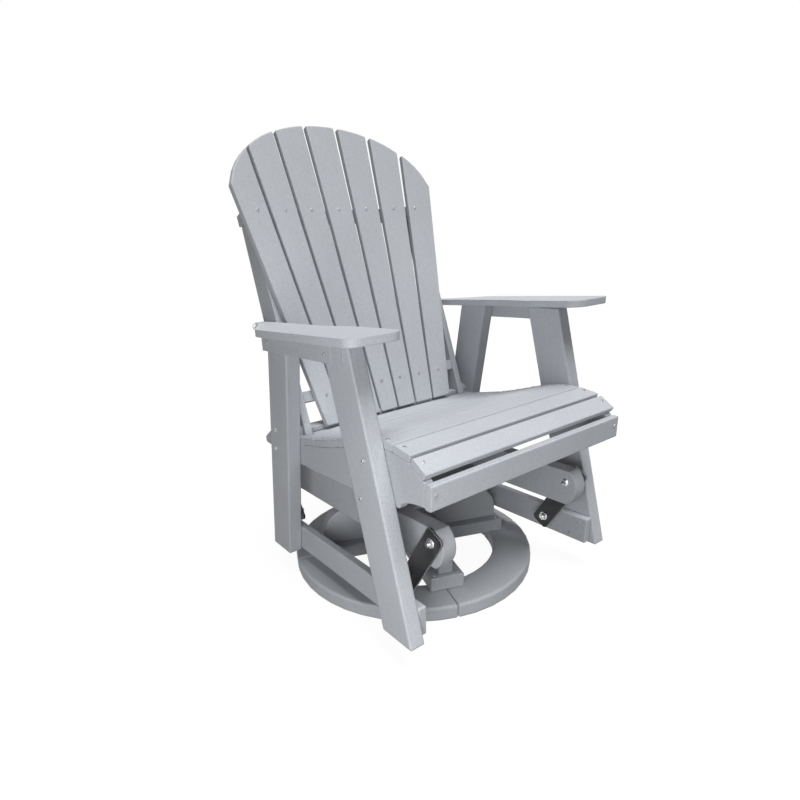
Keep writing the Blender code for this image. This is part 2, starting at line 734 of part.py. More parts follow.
def crossing_point(point, along, other, other_along):
    """Where two lines in a plane cross."""
    apart = other - point
    turn = along.x * other_along.y - along.y * other_along.x
    reach = (apart.x * other_along.y - apart.y * other_along.x) / turn
    return point + along * reach


def seat_bearing():
    """Top edge of the seat rails, a gap under every slat, from the nose to the shoulder."""
    lines = []
    for front, back, back_low, front_low in [nose_corners(), *seat_slat_corners()]:
        along = (back_low - front_low).normalized()
        down = (front_low - front).normalized()
        lines.append((front_low + down * GAP, along))
    upright = Vector((0, 1))
    ends = [(Vector((SEAT_RAIL_FRONT_Y, 0)), upright), *lines, (Vector(SHOULDER[0]), upright)]
    points = []
    for (point, along), (other, other_along) in zip(ends, ends[1:]):
        if abs(along.x * other_along.y - along.y * other_along.x) > EDGE:
            points.append(crossing_point(point, along, other, other_along))
    return points


def seat_rail_outline():
    corners = [(point.x, point.y, 0) for point in seat_bearing()]
    corners += [(*point, SHOULDER_ROUND) for point in SHOULDER]
    corners += [(*TAIL[1], TAIL_ROUND), (*TAIL[0], TAIL_ROUND)]
    corners += [(*point, 0) for point in reversed(UNDERSIDE)]
    steps = round(90 / ARC)
    for k in range(steps + 1):
        angle = math.radians(90 - 90 * k / steps)
        y = SEAT_RAIL_FRONT_Y + ARCH_Y * math.sin(angle)
        corners.append((y, ARCH_BACK_Z + ARCH_Z * math.cos(angle), 0))
    return round_corners(corners, ARC * 2)


def make_seat_rails(chair):
    for side, low, high in across(RAIL_INNER, RAIL_OUTER):
        bm = bmesh.new()
        add_prism(bm, "x", seat_rail_outline(), low, high)
        soften(make(f"seat_rail_{side}", bm, chair, POLY), EDGE / 2, 1)


def make_seat(chair):
    slats = {"seat_nose": nose_corners()}
    for k, corners in enumerate(seat_slat_corners()[:SEAT_SLATS]):
        slats[f"seat_slat_{k + 1}"] = corners
    slats["apron"] = box_corners((APRON_FRONT_Y, APRON_BACK_Y), (APRON_Z, APRON_Z + APRON_HEIGHT))
    for name, corners in slats.items():
        bm = bmesh.new()
        add_prism(bm, "x", board_outline(corners), -RAIL_OUTER, RAIL_OUTER)
        make(name, bm, chair, POLY)


# The arms

def arm_corners():
    """Arm seen from above, for x over zero, from the front inner corner round by the outside."""
    return (
        (ARM_INNER, ARM_FRONT_Y, ARM_INNER_CORNER),
        (ARM_OUTER, ARM_FRONT_Y, ARM_OUTER_CORNER),
        (ARM_OUTER, ARM_TAPER_Y[0], ARM_BEND),
        (ARM_TAIL_OUTER, ARM_TAPER_Y[1], ARM_BEND / 2),
        (ARM_TAIL_OUTER, ARM_END_Y, ARM_TAIL_CORNER),
        (ARM_TAIL_INNER, ARM_END_Y, ARM_TAIL_CORNER),
        (ARM_TAIL_INNER, ARM_NARROW_Y, ARM_BEND),
        (ARM_INNER, ARM_WIDE_Y, ARM_BEND),
    )


def make_arms(chair):
    for side, way in SIDES.items():
        bm = bmesh.new()
        outline = round_corners([(way * x, y, radius) for x, y, radius in arm_corners()], ARC)
        add_prism(bm, "z", outline, ARM_Z, ARM_Z + ARM)
        soften(make(f"arm_{side}", bm, chair, POLY), ARM_EDGE, 2)


def make_arm_supports(chair):
    heights = (LEG_TOP_Z - SUPPORT_HEIGHT, LEG_TOP_Z)
    for side, low, high in across(LEG_OUTER + GAP, LEG_OUTER + GAP + SUPPORT):
        bm = bmesh.new()
        add_prism(bm, "y", board_outline(box_corners(sorted((low, high)), heights)), *SUPPORT_Y)
        make(f"arm_support_{side}", bm, chair, POLY)


# The back

def back_frame():
    return Matrix.Translation((0, *BACK_FOOT)) @ Matrix.Rotation(-math.radians(RECLINE), 4, "X")


def hollow(x, height):
    """Point on the hollow face of the back, in the leaning frame."""
    return Vector((x, HOLLOW_DEPTH - x * x / (2 * HOLLOW_RADIUS), height))


def fan_pitch(height):
    return FAN_FOOT + FAN_SPREAD_SHARE * height


def slat_frame(place_in_fan):
    """Frame of one back slat: x across its face, y into the board and z up its middle line."""
    foot = hollow(place_in_fan * fan_pitch(FAN_FOOT_HEIGHT), FAN_FOOT_HEIGHT)
    head = hollow(place_in_fan * fan_pitch(FAN_AXIS_HEIGHT), FAN_AXIS_HEIGHT)
    up = (head - foot).normalized()
    middle = (foot + head) / 2
    across_face = Vector((1, -middle.x / HOLLOW_RADIUS, 0))
    across_face = (across_face - up * across_face.dot(up)).normalized()
    inward = up.cross(across_face)
    turn = Matrix((across_face, inward, up)).transposed().to_4x4()
    return Matrix.Translation(foot) @ turn


def slat_depth(place_in_fan, x, height, behind):
    """Depth of a slat's face, or of a plane a distance behind it, at a place in the leaning frame."""
    frame = slat_frame(place_in_fan)
    inward = frame.col[1].to_3d()
    foot = frame.translation
    return foot.y + (behind - inward.x * (x - foot.x) - inward.z * (height - foot.z)) / inward.y


def slat_edge(place_in_fan, way, height):
    space = FAN_SPACE + FAN_SPACE_SHARE * height
    return (place_in_fan + way / 2) * fan_pitch(height) - way * space / 2


def crown(x):
    """Height of the curved top of the back, an ellipse a little wider than the fan."""
    half = slat_edge(fan_places()[-1], 1, CROWN_HEIGHT) + CROWN_MARGIN
    return CROWN_HEIGHT + CROWN_RISE * math.sqrt(1 - (x / half) ** 2)


def edge_top(place_in_fan, way):
    """Where an edge of a slat meets the curved top of the back."""
    height = CROWN_HEIGHT
    for attempt in range(CROWN_TRIES):
        height = crown(slat_edge(place_in_fan, way, height))
    return slat_edge(place_in_fan, way, height)


def slat_outline(place_in_fan):
    """Face of a slat in its own frame, narrow at the foot and curved at the top."""
    points = []
    for way in (-1, 1):
        points.append((slat_edge(place_in_fan, way, FAN_FOOT_HEIGHT), FAN_FOOT_HEIGHT))
    right = edge_top(place_in_fan, 1)
    left = edge_top(place_in_fan, -1)
    for k in range(CROWN_STEPS + 1):
        x = right + (left - right) * k / CROWN_STEPS
        points.append((x, crown(x)))
    to_slat = slat_frame(place_in_fan).inverted()
    outline = []
    for x, height in points:
        local = to_slat @ Vector((x, slat_depth(place_in_fan, x, height, 0), height))
        outline.append((local.x, local.z))
    return outline


def fan_places():
    middle = (BACK_SLATS - 1) // 2
    return range(-middle, middle + 1)


def make_back_slats(chair):
    for k, place_in_fan in enumerate(fan_places()):
        bm = bmesh.new()
        add_prism(bm, "y", slat_outline(place_in_fan), 0, SLAT)
        frame = back_frame() @ slat_frame(place_in_fan)
        item = make(f"back_slat_{k + 1}", bm, chair, POLY, frame)
        soften(item, EDGE, 2)


def brace_depth(place_in_fan, x, heights):
    """Depth that clears the back of a slat over the height of a brace."""
    return max(slat_depth(place_in_fan, x, height, SLAT + GAP) for height in heights)


def brace_outline(half, low):
    """Brace seen from above in the leaning frame: straight behind, following the slats in front."""
    heights = (low, low + BRACE)
    pitch = fan_pitch(low + BRACE / 2)
    last = fan_places()[-1]
    outline = [(half, BRACE_BACK), (-half, BRACE_BACK), (-half, brace_depth(-last, -half, heights))]
    for place_in_fan in list(fan_places())[1:]:
        x = (place_in_fan - 1 / 2) * pitch
        depths = [brace_depth(slat, x, heights) for slat in (place_in_fan - 1, place_in_fan)]
        outline.append((x, max(depths)))
    outline.append((half, brace_depth(last, half, heights)))
    return outline


def make_braces(chair):
    inside = STILE_INNER - GAP
    outside = STILE_OUTER + UPPER_BRACE_OVERHANG
    for name, half, low in (
        ("upper_brace", outside, UPPER_BRACE),
        ("lower_brace", inside, LOWER_BRACE),
    ):
        bm = bmesh.new()
        add_prism(bm, "z", brace_outline(half, low), low, low + BRACE)
        soften(make(name, bm, chair, POLY, back_frame()), EDGE / 2, 1)


def from_back(depth, height):
    """A point of the leaning frame as (y, z)."""
    point = back_frame() @ Vector((0, depth, height))
    return Vector((point.y, point.z))


def stile_outline():
    angle = math.radians(STILE_LEAN)
    lean = Vector((math.sin(angle), math.cos(angle)))
    level = Vector((1, 0))
    foot = Vector((0, STILE_FOOT_Z))
    last = fan_places()[-1]
    top = UPPER_BRACE - GAP
    deepest = max(slat_depth(last, STILE_INNER, height, SLAT + GAP) for height in (*STILE_STEP, top))
    square = (from_back(1, top) - from_back(0, top)).normalized()
    points = (
        crossing_point(Vector(STILE_REAR), lean, foot, level),
        crossing_point(Vector(STILE_REAR), lean, from_back(0, top), square),
        from_back(deepest, top),
        from_back(deepest, STILE_STEP[1]),
        crossing_point(Vector(STILE_FRONT), lean, from_back(0, STILE_STEP[0]), square),
        crossing_point(Vector(STILE_FRONT), lean, foot, level),
    )
    return [tuple(point) for point in points]


def make_stiles(chair):
    for side, low, high in across(STILE_INNER, STILE_OUTER):
        bm = bmesh.new()
        add_prism(bm, "x", stile_outline(), low, high)
        soften(make(f"stile_{side}", bm, chair, POLY), EDGE / 2, 1)


def make_chair(chair):
    make_bottom_rails(chair)
    make_legs(chair)
    make_lower_pivot_bolts(chair)
    make_seat_rails(chair)
    make_seat(chair)
    make_arms(chair)
    make_arm_supports(chair)
    make_back_slats(chair)
    make_braces(chair)
    make_stiles(chair)


def main():
    clear_scene()
    stand = add_carrier("stand", 0, 0)
    frame_body = add_carrier("swivel_axis", 0, BALL_Z, stand)
    front_links = add_carrier("front_link_axis", FRONT_PIVOT_Y, UPPER_PIVOT_Z, frame_body)
    rear_links = add_carrier("rear_link_axis", REAR_PIVOT_Y, UPPER_PIVOT_Z, frame_body)
    chair = add_carrier("chair_axis", FRONT_LOWER_Y, LOWER_PIVOT_Z, front_links)
    make_base(stand)
    make_glider_frame(frame_body)
    open_hole = PIVOT_RADIUS + OPEN_PIVOT_PLAY
    make_links(front_links, "front", FRONT_PIVOT_Y, 1, PIVOT_HOLE, 0)
    make_links(rear_links, "rear", REAR_PIVOT_Y, -1, open_hole, OPEN_PIVOT_SHIFT)
    make_chair(chair)


main()
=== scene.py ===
import math

import bmesh
import bpy
from mathutils import Matrix, Vector


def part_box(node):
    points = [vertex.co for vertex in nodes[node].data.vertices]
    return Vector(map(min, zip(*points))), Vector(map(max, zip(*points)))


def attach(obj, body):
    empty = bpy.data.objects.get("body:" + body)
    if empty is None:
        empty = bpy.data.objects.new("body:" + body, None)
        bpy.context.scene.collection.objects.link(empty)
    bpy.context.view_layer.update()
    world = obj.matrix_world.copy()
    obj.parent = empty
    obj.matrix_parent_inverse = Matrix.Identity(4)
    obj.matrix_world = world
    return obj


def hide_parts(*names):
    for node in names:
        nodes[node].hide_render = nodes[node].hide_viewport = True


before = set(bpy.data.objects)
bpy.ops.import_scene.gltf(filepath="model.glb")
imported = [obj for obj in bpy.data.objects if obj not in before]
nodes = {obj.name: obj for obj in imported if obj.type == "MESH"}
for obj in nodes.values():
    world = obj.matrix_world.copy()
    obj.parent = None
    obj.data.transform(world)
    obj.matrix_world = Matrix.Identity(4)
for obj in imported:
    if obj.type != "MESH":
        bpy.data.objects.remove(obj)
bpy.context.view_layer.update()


# The ring on the floor.
# Four curved boards of moulded lumber, butted end to end and screwed to the flat boards above.
# The stock is recycled plastic, coloured right through, with a fine mottle and a brushed grain.

LUMBER = (0.430, 0.449, 0.478, 1)
# A lighter colour painted along the rounded edges of the lumber as a highlight.
LUMBER_EDGE_HIGHLIGHT = (0.560, 0.578, 0.605, 1)
BASE_TURN = -21.3  # degrees that the base stands turned from the chair
RING_SHADES = (0.93, 0.96, 0.94, 0.97)


def new_group(name, inputs, outputs):
    """An empty shader node group, with its input sockets' outputs and its output node's inputs."""
    group = bpy.data.node_groups.new(name, "ShaderNodeTree")
    for label, kind, value in inputs:
        socket = group.interface.new_socket(label, in_out="INPUT", socket_type=f"NodeSocket{kind}")
        if value is not None:
            socket.default_value = value
    for label, kind in outputs:
        group.interface.new_socket(label, in_out="OUTPUT", socket_type=f"NodeSocket{kind}")
    given = group.nodes.new("NodeGroupInput").outputs
    made = group.nodes.new("NodeGroupOutput").inputs
    return group, given, made


def put(tree, kind, inputs=None, **settings):
    """A shader node; each input takes a value or the output that feeds it."""
    node = tree.nodes.new(f"ShaderNode{kind}")
    for name, value in settings.items():
        setattr(node, name, value)
    for name, value in (inputs or {}).items():
        if isinstance(value, bpy.types.NodeSocket):
            tree.links.new(value, node.inputs[name])
        else:
            node.inputs[name].default_value = value
    return node


def feed(tree, inputs, sources):
    """Link outputs to the named inputs."""
    for name, output in sources.items():
        tree.links.new(output, inputs[name])


def calc(tree, operation, *values):
    return put(tree, "Math", dict(enumerate(values)), operation=operation).outputs[0]


def noise(tree, place, scale, detail, roughness=0.5):
    inputs = {"Vector": place, "Scale": scale, "Detail": detail, "Roughness": roughness}
    return put(tree, "TexNoise", inputs).outputs["Fac"]


def remap(tree, value, start, stop, first=0.0, last=1.0):
    """The value spread from start and stop onto first and last, and held there."""
    ends = {"From Min": start, "From Max": stop, "To Min": first, "To Max": last}
    return put(tree, "MapRange", {"Value": value, **ends}).outputs[0]


def mix_colours(tree, share, first, second):
    inputs = {"Factor": share, 6: first, 7: second}  # 6 and 7 are the colours A and B
    return put(tree, "Mix", inputs, data_type="RGBA").outputs[2]


def build_lumber_grain():
    """Mottle, brushed grain along X, pale flecks and slow drift of shade."""
    group, given, made = new_group(
        "Lumber grain",
        [
            ("Position", "Vector", None),
            ("Color", "Color", LUMBER),
            ("Mottle", "Float", 0.55),
            ("Brushing", "Float", 0.14),
            ("Flecks", "Float", 0.6),
        ],
        [("Color", "Color"), ("Roughness", "Float"), ("Height", "Float")],
    )
    place = given["Position"]
    drawn = put(group, "Mapping", {"Vector": place, "Scale": (0.035, 1, 1)}).outputs[0]
    mottle = noise(group, place, 260, 4, 0.62)
    brushing = noise(group, drawn, 420, 3)
    drift = noise(group, place, 7, 2)
    fleck = noise(group, place, 780, 1)
    shade = 1.0
    patterns = ((mottle, given["Mottle"]), (brushing, given["Brushing"]), (drift, 0.10))
    for pattern, amount in patterns:
        shade = calc(group, "MULTIPLY_ADD", calc(group, "SUBTRACT", pattern, 0.5), amount, shade)
    shaded = put(group, "VectorMath", {0: given["Color"], "Scale": shade}, operation="SCALE")
    pale = put(group, "VectorMath", {0: given["Color"], "Scale": 1.3}, operation="SCALE")
    strength = calc(group, "MULTIPLY", remap(group, fleck, 0.62, 0.72), given["Flecks"])
    feed(
        group,
        made,
        {
            "Color": mix_colours(group, strength, shaded.outputs[0], pale.outputs[0]),
            "Roughness": remap(group, mottle, 0.3, 0.7, 0.50, 0.66),
            "Height": calc(group, "MULTIPLY_ADD", brushing, 0.6, mottle),
        },
    )
    return group


def build_edge_highlight():
    """Rounded edges: a mask over them, a lighter colour painted on them as a highlight, and a
    softened normal.
    """
    group, given, made = new_group(
        "Edge highlight",
        [
            ("Color", "Color", LUMBER),
            ("Highlight Color", "Color", LUMBER_EDGE_HIGHLIGHT),
            ("Amount", "Float", 0.5),
            ("Radius", "Float", 0.003),
            ("Patchiness", "Float", 0.4),
        ],
        [("Color", "Color"), ("Mask", "Float"), ("Normal", "Vector")],
    )
    rounded = put(group, "Bevel", {"Radius": given["Radius"]}, samples=6).outputs[0]
    flat = put(group, "NewGeometry").outputs["Normal"]
    bend = put(group, "VectorMath", {0: rounded, 1: flat}, operation="DOT_PRODUCT").outputs["Value"]
    edge = remap(group, bend, 0.995, 0.90)
    patches = noise(group, put(group, "TexCoord").outputs["Object"], 55, 3)
    held = remap(group, calc(group, "SUBTRACT", patches, given["Patchiness"]), -0.1, 0.2)
    amount = calc(group, "MULTIPLY", calc(group, "MULTIPLY", edge, held), given["Amount"])
    # The edges are painted lighter in patches, as a highlight.
    painted_highlight = mix_colours(group, amount, given["Color"], given["Highlight Color"])
    feed(group, made, {"Color": painted_highlight, "Mask": amount, "Normal": rounded})
    return group


lumber_grain = build_lumber_grain()
edge_highlight_group = build_edge_highlight()


def new_material(name):
    """A material, its node tree and its shader."""
    material = bpy.data.materials.new(name)
    material.use_nodes = True
    tree = material.node_tree
    return material, tree, tree.nodes["Principled BSDF"]


def lumber(name, turn, shade=1.0, rounding=0.003):
    """Moulded lumber for a board whose length the turn, in degrees, brings onto X."""
    material, tree, surface = new_material(name)
    place = put(tree, "TexCoord").outputs["Object"]
    turned = put(tree, "Mapping", {"Vector": place, "Rotation": [math.radians(a) for a in turn]})
    colour = [c * shade for c in LUMBER[:3]] + [1]
    # The edges take a painted highlight in a lighter colour, and a softened normal.
    highlight_colour = [c * shade for c in LUMBER_EDGE_HIGHLIGHT[:3]] + [1]
    given = {"Position": turned.outputs[0], "Color": colour}
    grain = put(tree, "Group", given, node_tree=lumber_grain).outputs
    given = {"Color": grain["Color"], "Highlight Color": highlight_colour, "Radius": rounding}
    edge = put(tree, "Group", given, node_tree=edge_highlight_group).outputs
    relief = {"Strength": 0.35, "Distance": 0.0007}
    bump = put(tree, "Bump", {**relief, "Height": grain["Height"], "Normal": edge["Normal"]})
    feed(
        tree,
        surface.inputs,
        {"Base Color": edge["Color"], "Roughness": grain["Roughness"], "Normal": bump.outputs[0]},
    )
    surface.inputs["Specular IOR Level"].default_value = 0.42
    return material


def dress(material, *names):
    for name in names:
        for slot in nodes[name].material_slots:
            slot.material = material


for k, shade in enumerate(RING_SHADES):
    chord = BASE_TURN + 45 + 90 * k + 90
    dress(lumber(f"ring_lumber_{k + 1}", (0, 0, -chord), shade), f"base_ring_segment_{k + 1}")


# The boards across the ring.
# Two flat boards halved into each other, and two upright ones with round shoulders on them.
# A pair of screws goes down through each end of the flat boards into the ring.

for k, turn in ((1, -BASE_TURN), (2, -BASE_TURN - 90)):
    dress(lumber(f"base_rail_lumber_{k}", (0, 0, turn), shade=0.94), f"base_rail_{k}")
    dress(lumber(f"base_board_lumber_{k}", (0, 0, turn), shade=0.92), f"base_board_{k}")


def build_plating():
    """Zinc plating: cloudy colour, fine scratches and a slight unevenness."""
    group, given, made = new_group(
        "Zinc plating",
        [
            ("Position", "Vector", None),
            ("Bright", "Color", (0.82, 0.82, 0.84, 1)),
            ("Dull", "Color", (0.52, 0.53, 0.55, 1)),
            ("Scale", "Float", 240.0),
            ("Polish", "Float", 0.22),
        ],
        [("Color", "Color"), ("Roughness", "Float"), ("Height", "Float")],
    )
    place = given["Position"]
    drawn = put(group, "Mapping", {"Vector": place, "Scale": (1, 0.1, 0.1)}).outputs[0]
    dulled = remap(group, noise(group, place, given["Scale"], 4), 0.38, 0.66)
    feed(
        group,
        made,
        {
            "Color": mix_colours(group, dulled, given["Bright"], given["Dull"]),
            "Roughness": calc(group, "MULTIPLY_ADD", dulled, 0.18, given["Polish"]),
            "Height": noise(group, drawn, 1500, 2),
        },
    )
    return group


zinc_plating = build_plating()


def plated_steel(name, bright, dull, scale, polish):
    material, tree, surface = new_material(name)
    place = put(tree, "TexCoord").outputs["Object"]
    given = {"Position": place, "Bright": bright, "Dull": dull, "Scale": scale, "Polish": polish}
    finish = put(tree, "Group", given, node_tree=zinc_plating).outputs
    bump = put(tree, "Bump", {"Strength": 0.12, "Distance": 0.0002, "Height": finish["Height"]})
    feed(tree, surface.inputs, {"Base Color": finish["Color"], "Roughness": finish["Roughness"]})
    feed(tree, surface.inputs, {"Normal": bump.outputs[0]})
    surface.inputs["Metallic"].default_value = 1
    return material


SCREW_ZINC = ((0.52, 0.52, 0.54, 1), (0.30, 0.31, 0.33, 1))  # bright and dull
screw_steel = plated_steel("screw_steel", *SCREW_ZINC, scale=420, polish=0.36)
SCREW_HEAD = 0.0044
SCREW_TURN = 0.7  # from one screw to the next, in radians
SCREW_RINGS = (  # radius, height over the board, depth of the four lobes
    (1.00, -0.0008, 0),
    (1.00, 0.0005, 0),
    (0.92, 0.0014, 0),
    (0.68, 0.0017, 0),
    (0.55, 0.0017, 0.24),
    (0.52, 0.0001, 0.24),
    (0.20, 0.0001, 0.10),
)


def add_rings(bm, rings, steps, place):
    """Skin over rings of points; each ring gives the radius and height at an angle."""
    loops = []
    for ring in rings:
        loop = []
        for k in range(steps):
            angle = math.tau * k / steps
            radius, height = ring(angle)
            point = Vector((radius * math.cos(angle), radius * math.sin(angle), height))
            loop.append(bm.verts.new(place @ point))
        loops.append(loop)
    for low, high in zip(loops, loops[1:]):
        for k in range(steps):
            bm.faces.new((low[k], low[(k + 1) % steps], high[(k + 1) % steps], high[k]))
    bm.faces.new(loops[0][::-1])
    bm.faces.new(loops[-1])


SMOOTH = math.radians(32)  # edges that turn by less are shaded smooth


def finish_piece(name, bm, material, body):
    """The mesh as a piece that rides on a body, smooth but for its sharp edges."""
    bmesh.ops.recalc_face_normals(bm, faces=bm.faces)
    mesh = bpy.data.meshes.new(name)
    bm.to_mesh(mesh)
    bm.free()
    mesh.polygons.foreach_set("use_smooth", [True] * len(mesh.polygons))
    mesh.set_sharp_from_angle(angle=SMOOTH)
    mesh.materials.append(material)
    piece = bpy.data.objects.new(name, mesh)
    bpy.context.scene.collection.objects.link(piece)
    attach(piece, body)
    return piece


def lobed_ring(radius, height, lobes):
    """A ring whose radius swells four times by a share."""
    return lambda angle: (radius * (1 + lobes * math.cos(4 * angle)), height)


def drive_screws(name, body, spots, head=SCREW_HEAD, profile=SCREW_RINGS):
    """Screw heads in the boards: each spot is a node, a point in front of it and the way in."""
    bm = bmesh.new()
    rings = [lobed_ring(share * head, height, lobes) for share, height, lobes in profile]
    for k, (node, start, way) in enumerate(spots):
        found, point, facing, _ = nodes[node].ray_cast(Vector(start), Vector(way))
        if not found:
            raise ValueError(f"no board under a screw of {name} at {start}")
        place = Matrix.Translation(point) @ facing.to_track_quat("Z", "Y").to_matrix().to_4x4()
        add_rings(bm, rings, 24, place @ Matrix.Rotation(SCREW_TURN * k, 4, "Z"))
    return finish_piece(name, bm, screw_steel, body)


BASE_CENTRE = Vector((0, 0.03213, 0))
RAIL_SCREWS = (0.256, 0.030)  # along and across a flat board
OVER_BASE = 0.12


def on_base(rail, along, across, height):
    """Point over the base, by the board it is on."""
    turn = math.radians(BASE_TURN + (90 if rail == 2 else 0))
    out = Vector((math.cos(turn), math.sin(turn), 0))
    side = Vector((-out.y, out.x, 0))
    return BASE_CENTRE + out * along + side * across + Vector((0, 0, height))


rail_spots = []
for rail in (1, 2):
    for end in (-1, 1):
        for side in (-1, 1):
            point = on_base(rail, end * RAIL_SCREWS[0], side * RAIL_SCREWS[1], OVER_BASE)
            rail_spots.append((f"base_rail_{rail}", point, (0, 0, -1)))
drive_screws("base_rail_screws", "base", rail_spots)


# The swivel bearing.
# Two pressed plates of galvanised steel with a ring of hardened balls between their tracks.
# Four screws hold the lower plate on the crossed boards, and four hold the upper one from below.

GALVANISED = ((0.62, 0.63, 0.65, 1), (0.40, 0.41, 0.43, 1))
HARDENED = ((0.78, 0.78, 0.79, 1), (0.60, 0.60, 0.61, 1))
plate_steel = plated_steel("galvanised_steel", *GALVANISED, scale=70, polish=0.38)
dress(plate_steel, "swivel_lower_plate", "swivel_upper_plate")
dress(plated_steel("ball_steel", *HARDENED, scale=160, polish=0.12), "swivel_ball_ring")
LOWER_PLATE_SCREWS = (0.0886, 0.1975)  # from the middle, and a height above the plate
UPPER_PLATE_SCREWS = (0.074, 0.089, 0.1925)  # from the middle, and a height below the plate
radius, height = LOWER_PLATE_SCREWS
lower_spots = []
for rail in (1, 2):
    for end in (-1, 1):
        spot = on_base(rail, end * radius, 0, height)
        lower_spots.append(("swivel_lower_plate", spot, (0, 0, -1)))
drive_screws("lower_plate_screws", "base", lower_spots)
across, along, height = UPPER_PLATE_SCREWS
upper_spots = []
for x in (-across, across):
    for y in (-along, along):
        upper_spots.append(("swivel_upper_plate", BASE_CENTRE + Vector((x, y, height)), (0, 0, 1)))
drive_screws("upper_plate_screws", "glider_frame", upper_spots)


# The cross boards and the beams of the glider frame.
# Two flat boards lie on the upper plate between two thick beams with a flat top and a bulging end.
# Screws hold the cross boards to the plate below and to the beams.

SIDES = {"right": -1, "left": 1}
BOARD_EDGE = 0.0024
SHARP = math.radians(25)  # edges that turn by more are rounded


def add_board(name, ends, material, body, soft=BOARD_EDGE):
    """Board between two outlines that face each other, with rounded edges."""
    bm = bmesh.new()
    faces = [bm.faces.new([bm.verts.new(point) for point in end]) for end in ends]
    first, last = [list(face.verts) for face in faces]
    for k in range(len(first)):
        j = (k + 1) % len(first)
        bm.faces.new((first[k], first[j], last[j], last[k]))
    sharp = [edge for edge in bm.edges if edge.calc_face_angle(0) > SHARP]
    bmesh.ops.bevel(bm, geom=sharp, offset=soft, segments=3, profile=0.5, affect="EDGES")
    return finish_piece(name, bm, material, body)


def seen_from_side(outline, low, high):
    return [[(x, y, z) for y, z in outline] for x in (low, high)]


CROSSING_SCREWS = (0.185, (0.25, 0.75))  # from the middle, and shares of a board's width
UNDER_BOARD = 0.01
crossing_spots = []
for end in ("front", "back"):
    node = f"cross_board_{end}"
    low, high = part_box(node)
    for x in (-CROSSING_SCREWS[0], CROSSING_SCREWS[0]):
        for share in CROSSING_SCREWS[1]:
            below = (x, low.y + (high.y - low.y) * share, low.z - UNDER_BOARD)
            crossing_spots.append((node, below, (0, 0, 1)))
drive_screws("cross_board_screws", "glider_frame", crossing_spots)

beam_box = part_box("glider_beam_left")
BEAM_MIDDLE = (beam_box[0].y + beam_box[1].y) / 2
BEAM_HALF = 0.3320  # from the middle to the corners of each end
BEAM_HEIGHTS = (0.2130, 0.3020)
BEAM_BULGE = 0.0215
BEAM_STEPS = 8  # on each half of an end
BEAM_EDGE, BEAM_SHADED_ROUND = 0.004, 0.005  # rounding of the edges, and of their shading and painted highlight
BOARD_GAP = 0.0005
half_height = (BEAM_HEIGHTS[1] - BEAM_HEIGHTS[0]) / 2
bulge_radius = (half_height**2 + BEAM_BULGE**2) / (2 * BEAM_BULGE)
half_angle = math.asin(half_height / bulge_radius)
beam_outline = []
for way in (-1, 1):
    for k in range(-BEAM_STEPS, BEAM_STEPS + 1):
        angle = -way * half_angle * k / BEAM_STEPS
        y = BEAM_HALF + BEAM_BULGE - bulge_radius * (1 - math.cos(angle))
        z = sum(BEAM_HEIGHTS) / 2 + bulge_radius * math.sin(angle)
        beam_outline.append((BEAM_MIDDLE + way * y, z))
beam_lumber = lumber("beam_lumber", (0, 0, -90), shade=0.94, rounding=BEAM_SHADED_ROUND)
for side, way in SIDES.items():
    ends = seen_from_side(beam_outline, *sorted((way * beam_box[0].x, way * beam_box[1].x)))
    beam = add_board(f"beam_{side}", ends, beam_lumber, "glider_frame", BEAM_EDGE)
    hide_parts(f"glider_beam_{side}")
cross_lumber = lumber("cross_board_lumber", (0, 0, 0), shade=0.92)
for end in ("front", "back"):
    node = f"cross_board_{end}"
    low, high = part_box(node)
    outline = [(low.y, low.z), (high.y, low.z), (high.y, high.z), (low.y, high.z)]
    ends = seen_from_side(outline, BOARD_GAP - beam_box[0].x, beam_box[0].x - BOARD_GAP)
    board = add_board(f"cross_board_between_{end}", ends, cross_lumber, "glider_frame")
    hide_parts(node)


# The pivot bolts that the links swing on.
# Zinc-plated bolts with a low round head, a flat washer and a hexagon nut on a short thread.
# The lower ones also carry a spacer tube with a flange, which keeps each link off the bottom rail.

BOLT_ZINC = ((0.86, 0.86, 0.88, 1), (0.58, 0.59, 0.61, 1))  # bright and dull
bolt_steel = plated_steel("bolt_steel", *BOLT_ZINC, scale=300, polish=0.20)
BOLT = 0.005
BOLT_HEAD = (0.010, 0.005)  # radius, height
HEAD_DOME = (  # shares of the head's height and radius
    (1.0, 0.05),
    (0.99, 0.25),
    (0.93, 0.50),
    (0.80, 0.72),
    (0.58, 0.90),
    (0.34, 0.98),
    (0.0, 1.0),
)
NUT = (0.0080, 0.0075)  # half the width across its flats, height
NUT_FACE = 0.0079  # radius of its round faces
NUT_CORNER = 0.0093
NUT_CHAMFERS = (0.0006, 0.0010)  # at the washer and at the thread
WASHER_HEIGHT = 0.0014
WASHER_RADIUS = 0.0115
WIDE_WASHER_RADIUS = 0.0145
SOFT = 0.0003  # rounding of the washers' edges
COUNTERSINK = 0.0004  # wider than the bolt, where the nut's bore opens
THREAD_OUT = 0.003
THREAD_TURNS = 5
THREAD_ROOT = BOLT - 0.0005
THREAD_START = (0.0005, BOLT - 0.0002)  # depth in the nut, radius
THREAD_TIP = ((0.0004, BOLT - 0.0004), (0.0, BOLT - 0.0010))  # distance to the end, radius
SEAT_GAP = 0.0003  # the faces that touch stand this far apart, as in the solids
RUNNING_GAP = 0.0005
TUBE_RADIUS = 0.009


